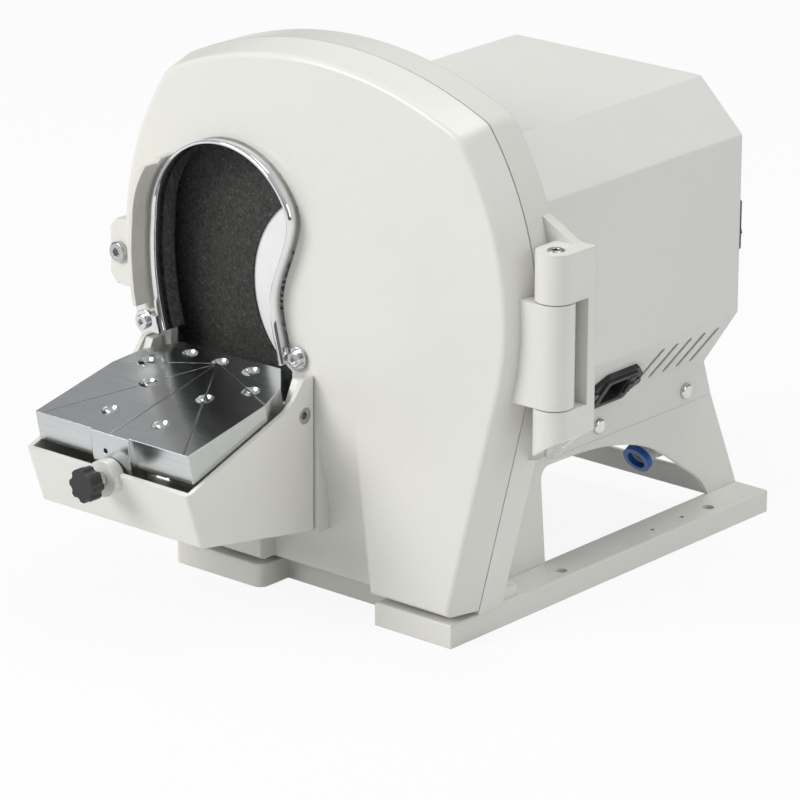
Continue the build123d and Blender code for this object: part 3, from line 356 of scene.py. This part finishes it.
def enamelPaint(name, look):
    material, tree, shader = newMaterial(name)
    tone = placeGroup(tree, "mottle", Scale=look["cloudScale"], Low=look["darker"], High=look["lighter"])
    edges = placeGroup(tree, "edges", Breakup=look["chipScale"], Reach=look["chipReach"])
    peel = placeGroup(tree, "peel", Scale=look["peelScale"], Fine=look["peelFine"])
    dust = placeGroup(tree, "dust", Amount=look["dust"], Scale=look["dustScale"])
    node, out = toneColour(tree, look["colour"], tone, "Tone")
    node, out = layColour(tree, node, out, look["dustColour"], dust, "Mask")
    node, out = layColour(tree, node, out, look["edgeColour"], edges, "Mask")
    # inside the cover a near-black colour is laid over the paint: painted shade
    if "insideColour" in look:
        inside = placeGroup(tree, "inside")
        node, out = layColour(tree, node, out, look["insideColour"], inside, "Mask")
    tree.links.new(node.outputs[out], shader.inputs["Base Color"])
    roughnessFrom(tree, shader, peel, "Height", look["smooth"], look["rough"])
    bump = addNode(tree, "ShaderNodeBump", {"Strength": look["bump"], "Distance": look["bumpDepth"]})
    join(tree, peel, "Height", bump, "Height")
    join(tree, edges, "Soft Normal", bump, "Normal")
    join(tree, bump, "Normal", shader, "Normal")
    shader.inputs["Coat Weight"].default_value = look["coat"]
    shader.inputs["Coat Roughness"].default_value = look["coatRough"]
    return material


castEnamel = {
    "colour": (0.74, 0.735, 0.69), "cloudScale": 9.0, "darker": 0.975, "lighter": 1.02,
    "chipScale": 300.0, "chipReach": 0.25, "edgeColour": (0.80, 0.80, 0.77),
    "peelScale": 420.0, "peelFine": 0.25, "bump": 0.18, "bumpDepth": 0.0006,
    "dust": 0.10, "dustScale": 70.0, "dustColour": (0.84, 0.84, 0.82),
    "smooth": 0.26, "rough": 0.42, "coat": 0.25, "coatRough": 0.18,
}
sheetEnamel = {
    "colour": (0.755, 0.75, 0.71), "cloudScale": 6.0, "darker": 0.985, "lighter": 1.01,
    "chipScale": 260.0, "chipReach": 0.2, "edgeColour": (0.82, 0.82, 0.79),
    "peelScale": 900.0, "peelFine": 0.6, "bump": 0.14, "bumpDepth": 0.0004,
    "dust": 0.06, "dustScale": 60.0, "dustColour": (0.86, 0.86, 0.84),
    "smooth": 0.34, "rough": 0.5, "coat": 0.1, "coatRough": 0.3,
}


def drawnMetal(name, look):
    material, tree, shader = newMaterial(name)
    tone = placeGroup(tree, "mottle", Scale=look["cloudScale"], Low=look["darker"], High=look["lighter"])
    streaks = placeGroup(tree, "streaks", Stretch=look["stretch"], Scale=look["streakScale"])
    edges = placeGroup(tree, "edges", Breakup=400.0, Reach=look["edge"])
    node, out = toneColour(tree, look["colour"], tone, "Tone")
    shade = ramp(tree, 0.3, 0.7)
    shade.inputs["To Min"].default_value = look["streakDark"]
    join(tree, streaks, "Streak", shade, "Value")
    streaked = addNode(tree, "ShaderNodeVectorMath", operation="SCALE")
    tree.links.new(node.outputs[out], streaked.inputs[0])
    join(tree, shade, "Result", streaked, "Scale")
    node, out = layColour(tree, streaked, "Vector", look["edgeColour"], edges, "Mask")
    tree.links.new(node.outputs[out], shader.inputs["Base Color"])
    shader.inputs["Metallic"].default_value = 1.0
    roughnessFrom(tree, shader, streaks, "Streak", look["smooth"], look["rough"])
    bump = addNode(tree, "ShaderNodeBump", {"Strength": look["bump"], "Distance": look["bumpDepth"]})
    join(tree, streaks, "Streak", bump, "Height")
    join(tree, edges, "Soft Normal", bump, "Normal")
    if "rolled" in look:
        crown = rollAcross(tree, look["rolled"], bump)
        join(tree, crown, "Normal", shader, "Normal")
    else:
        join(tree, bump, "Normal", shader, "Normal")
    return material


def rollAcross(tree, rolled, below):
    # a strip that is crowned across its width, from one Y to another
    place = addNode(tree, "ShaderNodeTexCoord")
    split = addNode(tree, "ShaderNodeSeparateXYZ")
    across = ramp(tree, rolled["start"], rolled["end"])
    across.inputs["To Min"].default_value = -1.0
    square = mathNode(tree, "POWER", second=2.0)
    fall = mathNode(tree, "SUBTRACT", first=1.0)
    crown = addNode(tree, "ShaderNodeBump", {"Strength": 1.0, "Distance": rolled["height"]})
    size = mathNode(tree, "ABSOLUTE")
    join(tree, place, "Object", split, "Vector")
    join(tree, split, "Y", across, "Value")
    join(tree, across, "Result", size, 0)
    join(tree, size, "Value", square, 0)
    join(tree, square, "Value", fall, 1)
    join(tree, fall, "Value", crown, "Height")
    join(tree, below, "Normal", crown, "Normal")
    return crown


metalLooks = {
    "machined_table": {
        "colour": (0.66, 0.68, 0.69), "cloudScale": 11.0, "darker": 0.88, "lighter": 1.04,
        "stretch": (0.06, 1.0, 1.0),
        "streakScale": 420.0, "streakDark": 0.93, "edge": 0.35, "edgeColour": (0.84, 0.84, 0.83),
        "smooth": 0.14, "rough": 0.27, "bump": 0.03, "bumpDepth": 0.0002,
    },
    "polished_band": {
        "colour": (0.78, 0.79, 0.80), "cloudScale": 30.0, "darker": 0.92, "lighter": 1.02,
        "stretch": (0.2, 1.0, 0.2),
        "streakScale": 500.0, "streakDark": 0.95, "edge": 0.3, "edgeColour": (0.93, 0.93, 0.93),
        "smooth": 0.03, "rough": 0.09, "bump": 0.03, "bumpDepth": 0.0002,
        "rolled": {"start": -0.1915, "end": -0.1815, "height": 0.0022},
    },
    "plated_screws": {
        "colour": (0.74, 0.74, 0.73), "cloudScale": 200.0, "darker": 0.86, "lighter": 1.05,
        "stretch": (1.0, 1.0, 1.0),
        "streakScale": 1500.0, "streakDark": 0.9, "edge": 0.5, "edgeColour": (0.88, 0.88, 0.87),
        "smooth": 0.1, "rough": 0.28, "bump": 0.08, "bumpDepth": 0.0002,
    },
    "dark_screws": {
        "colour": (0.12, 0.12, 0.12), "cloudScale": 200.0, "darker": 0.8, "lighter": 1.2,
        "stretch": (1.0, 1.0, 1.0),
        "streakScale": 1500.0, "streakDark": 0.8, "edge": 0.8, "edgeColour": (0.5, 0.5, 0.5),
        "smooth": 0.25, "rough": 0.45, "bump": 0.1, "bumpDepth": 0.0002,
    },
    "steel_pins": {
        "colour": (0.58, 0.58, 0.58), "cloudScale": 120.0, "darker": 0.85, "lighter": 1.05,
        "stretch": (0.2, 1.0, 1.0),
        "streakScale": 1200.0, "streakDark": 0.85, "edge": 0.4, "edgeColour": (0.8, 0.8, 0.8),
        "smooth": 0.15, "rough": 0.32, "bump": 0.08, "bumpDepth": 0.0002,
    },
    "zinc_sheet": {
        "colour": (0.55, 0.56, 0.57), "cloudScale": 60.0, "darker": 0.82, "lighter": 1.1,
        "stretch": (1.0, 0.25, 1.0),
        "streakScale": 300.0, "streakDark": 0.85, "edge": 0.3, "edgeColour": (0.8, 0.8, 0.8),
        "smooth": 0.3, "rough": 0.5, "bump": 0.08, "bumpDepth": 0.0002,
    },
    "rotor_iron": {
        "colour": (0.22, 0.22, 0.22), "cloudScale": 80.0, "darker": 0.8, "lighter": 1.1,
        "stretch": (0.1, 1.0, 0.1),
        "streakScale": 2400.0, "streakDark": 0.6, "edge": 0.3, "edgeColour": (0.4, 0.4, 0.4),
        "smooth": 0.35, "rough": 0.55, "bump": 0.2, "bumpDepth": 0.0003,
    },
    "motor_aluminium": {
        "colour": (0.5, 0.51, 0.52), "cloudScale": 60.0, "darker": 0.8, "lighter": 1.05,
        "stretch": (1.0, 1.0, 1.0),
        "streakScale": 700.0, "streakDark": 0.85, "edge": 0.4, "edgeColour": (0.75, 0.75, 0.75),
        "smooth": 0.4, "rough": 0.6, "bump": 0.2, "bumpDepth": 0.0004,
    },
    "brass_pipe": {
        "colour": (0.70, 0.52, 0.26), "cloudScale": 90.0, "darker": 0.8, "lighter": 1.08,
        "stretch": (1.0, 0.2, 1.0),
        "streakScale": 700.0, "streakDark": 0.85, "edge": 0.3, "edgeColour": (0.85, 0.7, 0.42),
        "smooth": 0.18, "rough": 0.4, "bump": 0.08, "bumpDepth": 0.0002,
    },
}


def mouldedPlastic(name, look):
    material, tree, shader = newMaterial(name)
    tone = placeGroup(tree, "mottle", Scale=look["cloudScale"], Low=look["darker"], High=look["lighter"])
    edges = placeGroup(tree, "edges", Breakup=500.0, Reach=look["edge"])
    peel = placeGroup(tree, "peel", Scale=look["grainScale"], Fine=0.7)
    dust = placeGroup(tree, "dust", Amount=look["dust"], Scale=90.0)
    node, out = toneColour(tree, look["colour"], tone, "Tone")
    node, out = layColour(tree, node, out, (0.6, 0.6, 0.58), dust, "Mask")
    node, out = layColour(tree, node, out, look["edgeColour"], edges, "Mask")
    tree.links.new(node.outputs[out], shader.inputs["Base Color"])
    roughnessFrom(tree, shader, peel, "Height", look["smooth"], look["rough"])
    bump = addNode(tree, "ShaderNodeBump", {"Strength": look["bump"], "Distance": 0.0003})
    join(tree, peel, "Height", bump, "Height")
    join(tree, edges, "Soft Normal", bump, "Normal")
    join(tree, bump, "Normal", shader, "Normal")
    return material


plasticLooks = {
    "black_plastic": {
        "colour": (0.018, 0.018, 0.019), "cloudScale": 60.0, "darker": 0.8, "lighter": 1.3, "edge": 0.25,
        "edgeColour": (0.09, 0.09, 0.09), "grainScale": 1400.0, "dust": 0.06, "smooth": 0.3, "rough": 0.5,
        "bump": 0.2,
    },
    "grey_plastic": {
        "colour": (0.34, 0.35, 0.36), "cloudScale": 50.0, "darker": 0.9, "lighter": 1.06, "edge": 0.2,
        "edgeColour": (0.5, 0.5, 0.5), "grainScale": 1200.0, "dust": 0.1, "smooth": 0.35, "rough": 0.55,
        "bump": 0.15,
    },
    "white_plastic": {
        "colour": (0.78, 0.78, 0.76), "cloudScale": 40.0, "darker": 0.95, "lighter": 1.02, "edge": 0.1,
        "edgeColour": (0.85, 0.85, 0.83), "grainScale": 1200.0, "dust": 0.05, "smooth": 0.3,
        "rough": 0.45, "bump": 0.1,
    },
    "blue_plastic": {
        "colour": (0.02, 0.12, 0.46), "cloudScale": 60.0, "darker": 0.9, "lighter": 1.1, "edge": 0.2,
        "edgeColour": (0.15, 0.3, 0.65), "grainScale": 1200.0, "dust": 0.05, "smooth": 0.2, "rough": 0.35,
        "bump": 0.08,
    },
    "seal_rubber": {
        "colour": (0.03, 0.03, 0.03), "cloudScale": 70.0, "darker": 0.8, "lighter": 1.3, "edge": 0.1,
        "edgeColour": (0.1, 0.1, 0.1), "grainScale": 900.0, "dust": 0.15, "smooth": 0.6, "rough": 0.8,
        "bump": 0.25,
    },
    # near-black for the scribed lines on the table: painted shade
    "scribed_groove_shade": {
        "colour": (0.012, 0.012, 0.011), "cloudScale": 90.0, "darker": 0.7, "lighter": 1.3, "edge": 0.05,
        "edgeColour": (0.03, 0.03, 0.03), "grainScale": 900.0, "dust": 0.0, "smooth": 0.8, "rough": 0.95,
        "bump": 0.2,
    },
    "guard_grey": {
        "colour": (0.74, 0.72, 0.66), "cloudScale": 40.0, "darker": 0.92, "lighter": 1.05, "edge": 0.3,
        "edgeColour": (0.8, 0.79, 0.74), "grainScale": 700.0, "dust": 0.1, "smooth": 0.4, "rough": 0.6,
        "bump": 0.2,
    },
    "wheel_metal": {
        "colour": (0.88, 0.885, 0.875), "cloudScale": 25.0, "darker": 0.94, "lighter": 1.02, "edge": 0.2,
        "edgeColour": (0.7, 0.7, 0.7), "grainScale": 500.0, "dust": 0.0, "smooth": 0.25, "rough": 0.4,
        "bump": 0.06,
    },
}


def blackGrit(name, look):
    material, tree, shader = newMaterial(name)
    grit = placeGroup(tree, "grit", Scale=look["grainScale"])
    shade = ramp(tree, 0.35, 0.65)
    shade.inputs["To Min"].default_value = look["darker"]
    shade.inputs["To Max"].default_value = look["lighter"]
    join(tree, grit, "Shade", shade, "Value")
    node, out = toneColour(tree, look["colour"], shade, "Result")
    node, out = layColour(tree, node, out, look["sparkleColour"], grit, "Sparkle")
    tree.links.new(node.outputs[out], shader.inputs["Base Color"])
    roughnessFrom(tree, shader, grit, "Sparkle", look["rough"], look["smooth"])
    bump = addNode(tree, "ShaderNodeBump", {"Strength": look["bump"], "Distance": look["bumpDepth"]})
    join(tree, grit, "Height", bump, "Height")
    join(tree, bump, "Normal", shader, "Normal")
    return material


gritLook = {
    "colour": (0.030, 0.029, 0.0275), "sparkleColour": (0.10, 0.098, 0.094), "grainScale": 1300.0,
    "darker": 0.4, "lighter": 2.1,
    "smooth": 0.45, "rough": 0.75, "bump": 0.7, "bumpDepth": 0.0006,
}

# the cover is painted outside, and its inside gets a near-black colour: painted shade
coverEnamelWithShadedInside = {**sheetEnamel, "insideColour": (0.035, 0.035, 0.034)}
finishes = {
    "cover_with_shaded_inside": enamelPaint("primedSheetEnamel", coverEnamelWithShadedInside),
    "enamel": enamelPaint("castEnamel", castEnamel),
    "enamel_sheet": enamelPaint("sheetEnamel", sheetEnamel),
    "abrasive": blackGrit("carbideGrit", gritLook),
}
for slotName, look in metalLooks.items():
    finishes[slotName] = drawnMetal(slotName.replace("_", "") + "Finish", look)
for slotName, look in plasticLooks.items():
    finishes[slotName] = mouldedPlastic(slotName.replace("_", "") + "Finish", look)
# nodes shown in another finish than their record's slot
shownFinish = {"tray_screws": "enamel", "latch_bolt": "steel_pins", "housing_cover": "cover_with_shaded_inside"}
for part in frame["record"]["subparts"]:
    slotName = shownFinish.get(part["node"], part["material_slot"])
    for materialSlot in frame["nodes"][part["node"]].material_slots:
        materialSlot.material = finishes[slotName]
print("finishes laid on the frame")


def meshPiece(name, points, faces, finish, body, smooth=True):
    mesh = bpy.data.meshes.new(name)
    mesh.from_pydata(points, [], faces)
    mesh.update()
    for polygon in mesh.polygons:
        polygon.use_smooth = smooth
    piece = bpy.data.objects.new(name, mesh)
    bpy.context.scene.collection.objects.link(piece)
    piece.data.materials.append(finishes[finish])
    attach(piece, body)
    return piece


# the clamp screw with its thread, in place of the plain rod

clampThread = {
    "x": -0.0593, "z": 0.0935, "radius": 0.004, "depth": 0.00055, "pitch": 0.00175, "around": 28,
    "rowsPerTurn": 8,
    "tipRadius": 0.0025, "tipLength": 0.0016,
}


def threadPoint(look, radius, share, y):
    # a point round the screw's axis, by its share of a turn
    angle = 2.0 * math.pi * share
    return look["x"] + radius * math.cos(angle), y, look["z"] + radius * math.sin(angle)


def makeClampThread(look):
    low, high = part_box("clamp_screw")
    start, end = low[1], high[1] - look["tipLength"]
    rows = int((end - start) / look["pitch"] * look["rowsPerTurn"])
    points = []
    for row in range(rows + 1):
        y = start + (end - start) * row / rows
        for step in range(look["around"]):
            share = step / look["around"]
            phase = ((y - start) / look["pitch"] - share) % 1.0
            ridge = 1.0 - abs(2.0 * phase - 1.0)
            radius = look["radius"] - look["depth"] * (1.0 - min(1.0, 1.5 * ridge))
            points.append(threadPoint(look, radius, share, y))
    for y in (end, high[1]):
        for step in range(look["around"]):
            points.append(threadPoint(look, look["tipRadius"], step / look["around"], y))
    around = look["around"]
    faces = []
    for row in range(rows + 2):
        for step in range(around):
            after = (step + 1) % around
            near, far = row * around, (row + 1) * around
            faces.append((near + step, far + step, far + after, near + after))
    faces.append(tuple(range(around)))
    faces.append(tuple(reversed(range((rows + 2) * around, (rows + 3) * around))))
    piece = meshPiece("clampThread", points, faces, "steel_pins", "clamp_handle")
    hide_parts("clamp_screw")
    return piece


# black strips laid in the table's scribed lines: painted shade for the shade in their grooves

tableLines = {
    "centre": -0.0593, "pivot": (-0.1897, 0.119), "tilt": 11.8, "top": 0.019, "rear": 0.0117,
    "hub": (0.0, 0.012),
    "ends": ((-0.0595, 0.038), (-0.0548, 0.1033), (0.0, 0.1033), (0.0548, 0.1033), (0.0595, 0.038)),
    "width": 0.00075, "sink": 0.00003, "thickness": 0.0002,
}


def makeTableLines(look):
    turn = Matrix.Rotation(math.radians(look["tilt"]), 4, "X")
    points, faces = [], []
    for endX, endBack in look["ends"]:
        a = Vector((look["hub"][0], look["rear"] - look["hub"][1], look["top"] - look["sink"]))
        b = Vector((endX, look["rear"] - endBack, look["top"] - look["sink"]))
        side = (b - a).cross(Vector((0, 0, 1))).normalized() * look["width"] / 2
        first = len(points)
        for corner in (a - side, a + side, b + side, b - side):
            for drop in (0.0, look["thickness"]):
                place = turn @ (corner - Vector((0, 0, drop)))
                across, back, up = look["centre"], *look["pivot"]
                points.append((place.x + across, place.y + back, place.z + up))
        q = [first + index for index in range(8)]
        faces += [(q[0], q[2], q[4], q[6]), (q[7], q[5], q[3], q[1])]
        faces += [(q[0], q[1], q[3], q[2]), (q[2], q[3], q[5], q[4])]
        faces += [(q[4], q[5], q[7], q[6]), (q[6], q[7], q[1], q[0])]
    return meshPiece(
        "scribedLineResidue", points, faces, "scribed_groove_shade", "tilting_table",
        smooth=False,
    )


makeClampThread(clampThread)
makeTableLines(tableLines)
print("thread and scribed lines made")


# floor, light and camera

floorLook = {"colour": (0.76, 0.76, 0.76), "whiteShare": 0.9, "size": 14.0, "drop": 0.0002}


def buildFloor(look):
    half = look["size"]
    mesh = bpy.data.meshes.new("benchTop")
    z = -look["drop"]
    corners = [(-half, -half, z), (half, -half, z), (half, half, z), (-half, half, z)]
    mesh.from_pydata(corners, [], [(0, 1, 2, 3)])
    floor = bpy.data.objects.new("benchTop", mesh)
    bpy.context.scene.collection.objects.link(floor)
    material = bpy.data.materials.new("paleBench")
    material.use_nodes = True
    tree = material.node_tree
    tree.nodes.clear()
    out = tree.nodes.new("ShaderNodeOutputMaterial")
    plain = addNode(tree, "ShaderNodeBsdfDiffuse", {"Color": (*look["colour"], 1.0)})
    white = addNode(tree, "ShaderNodeEmission", {"Color": (1.0, 1.0, 1.0, 1.0), "Strength": 1.0})
    rays = addNode(tree, "ShaderNodeLightPath")
    seen = mathNode(tree, "MAXIMUM")
    allSeen = mathNode(tree, "MAXIMUM")
    share = mathNode(tree, "MULTIPLY", second=look["whiteShare"])
    mix = addNode(tree, "ShaderNodeMixShader")
    join(tree, rays, "Is Camera Ray", seen, 0)
    join(tree, rays, "Is Glossy Ray", seen, 1)
    join(tree, seen, "Value", allSeen, 0)
    join(tree, rays, "Is Transmission Ray", allSeen, 1)
    join(tree, allSeen, "Value", share, 0)
    join(tree, share, "Value", mix, "Fac")
    tree.links.new(plain.outputs["BSDF"], mix.inputs[1])
    tree.links.new(white.outputs["Emission"], mix.inputs[2])
    join(tree, mix, "Shader", out, "Surface")
    floor.data.materials.append(material)


worldLook = {"colour": (0.97, 0.985, 1.0), "horizon": 0.13, "sky": 0.56}


def buildWorld(look):
    world = bpy.data.worlds.new("studio")
    bpy.context.scene.world = world
    world.use_nodes = True
    tree = world.node_tree
    tree.nodes.clear()
    out = tree.nodes.new("ShaderNodeOutputWorld")
    place = addNode(tree, "ShaderNodeTexCoord")
    split = addNode(tree, "ShaderNodeSeparateXYZ")
    rise = ramp(tree, 0.05, 0.75)
    rise.inputs["To Min"].default_value = look["horizon"]
    rise.inputs["To Max"].default_value = look["sky"]
    soft = addNode(tree, "ShaderNodeBackground", {"Color": (*look["colour"], 1.0)})
    join(tree, place, "Generated", split, "Vector")
    join(tree, split, "Z", rise, "Value")
    join(tree, rise, "Result", soft, "Strength")
    white = addNode(tree, "ShaderNodeBackground", {"Color": (1.0, 1.0, 1.0, 1.0), "Strength": 1.0})
    rays = addNode(tree, "ShaderNodeLightPath")
    mix = addNode(tree, "ShaderNodeMixShader")
    join(tree, rays, "Is Camera Ray", mix, "Fac")
    tree.links.new(soft.outputs["Background"], mix.inputs[1])
    tree.links.new(white.outputs["Background"], mix.inputs[2])
    join(tree, mix, "Shader", out, "Surface")


lamps = {
    "keyLamp": {"place": (-1.2, -2.4, 1.5), "size": 1.5, "power": 54.0, "colour": (1.0, 0.995, 0.985)},
    "fillLamp": {"place": (2.7, 0.1, 1.25), "size": 1.5, "power": 15.0, "colour": (0.99, 0.995, 1.0)},
    "topLamp": {"place": (0.3, 0.5, 2.6), "size": 1.4, "power": 22.0, "colour": (1.0, 1.0, 1.0)},
}


def buildLamps(looks):
    target = Vector((0.0, -0.03, 0.16))
    for name, look in looks.items():
        lamp = bpy.data.lights.new(name, "AREA")
        lamp.shape = "SQUARE"
        lamp.size = look["size"]
        lamp.energy = look["power"]
        lamp.color = look["colour"]
        holder = bpy.data.objects.new(name, lamp)
        holder.location = look["place"]
        holder.rotation_euler = (target - Vector(look["place"])).to_track_quat("-Z", "Y").to_euler()
        bpy.context.scene.collection.objects.link(holder)


cameraLook = {
    "azimuth": 40.43, "elevation": 18.59, "roll": 0.26, "distance": 3.0045, "lens": 229.41,
    "target": (0.0, -0.0807, 0.11424), "sideways": 0.01612, "upward": -0.01009,
    "shift": (0.00636, -0.05107),
}


def buildCamera(look):
    azimuth = math.radians(look["azimuth"])
    elevation = math.radians(look["elevation"])
    roll = math.radians(look["roll"])
    away = math.cos(elevation)
    back = Vector((math.sin(azimuth) * away, -math.cos(azimuth) * away, math.sin(elevation)))
    level = (-back).cross(Vector((0, 0, 1))).normalized()
    upright = level.cross(-back)
    right = level * math.cos(roll) + upright * math.sin(roll)
    up = upright * math.cos(roll) - level * math.sin(roll)
    place = Vector(look["target"]) + back * look["distance"] - right * look["sideways"] - up * look["upward"]
    camera = bpy.data.cameras.new("photoCamera")
    camera.sensor_width = 36.0
    camera.lens = look["lens"]
    camera.shift_x, camera.shift_y = look["shift"]
    camera.clip_end = 50.0
    holder = bpy.data.objects.new("photoCamera", camera)
    turn = Matrix((right, up, back)).transposed().to_4x4()
    holder.matrix_world = Matrix.Translation(place) @ turn
    bpy.context.scene.collection.objects.link(holder)
    bpy.context.scene.camera = holder


buildFloor(floorLook)
buildWorld(worldLook)
buildLamps(lamps)
buildCamera(cameraLook)
bpy.context.scene.view_settings.view_transform = "Standard"
print("stage, lamps and camera set")
